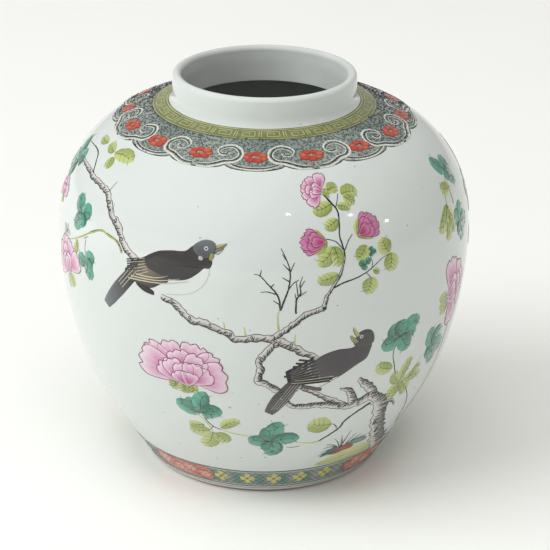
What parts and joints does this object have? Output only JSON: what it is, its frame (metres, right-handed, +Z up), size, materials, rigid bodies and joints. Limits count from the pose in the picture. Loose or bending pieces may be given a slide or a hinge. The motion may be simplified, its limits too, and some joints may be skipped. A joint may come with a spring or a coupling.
{
  "type": "ginger jar",
  "caption": "Round-shouldered porcelain jar on a turned foot, with a short upright neck for a cap lid and enamelled bands round neck and foot.",
  "frame": {"origin": "centre of the resting face, on the plane that the foot stands on", "axes": "+Z up along the jar's axis, -Y towards the painted front, +X to the right of a viewer facing that front"},
  "size_m": [0.204, 0.204, 0.2],
  "materials": {
    "bare_foot": "unglazed, turned smooth",
    "clay_body": "fired porcelain under the glaze",
    "clear_glaze": "glossy, faintly bluish white",
    "fret_enamel": "glossy olive enamel with yellow-green lines",
    "collar_enamel": "glossy grey-green enamel with fine black curls, white scrolls and coral flowers",
    "border_enamel": "glossy green diaper with yellow flowers and coral panels",
    "ink_enamel": "glossy black outlines and hatching",
    "bark_enamel": "glossy grey wash of the branches",
    "bird_enamel": "glossy black plumage with grey and cream markings",
    "leaf_enamel": "glossy translucent yellow-green",
    "turquoise_enamel": "glossy translucent turquoise, slightly proud",
    "rose_enamel": "glossy rose pink, white at the petal tips",
    "coral_enamel": "semi-gloss iron red"
  },
  "bodies": {
    "root": {"foot_ring": "bare_foot", "base_slab": "clay_body", "lower_section": "clay_body", "upper_section": "clay_body", "upright_neck": "clay_body", "outside_glaze": "clear_glaze", "inside_glaze": "clear_glaze", "base_glaze": "clear_glaze", "fret_band": "fret_enamel", "cloud_collar": "collar_enamel", "foot_border": "border_enamel"}
  },
  "joints": []
}
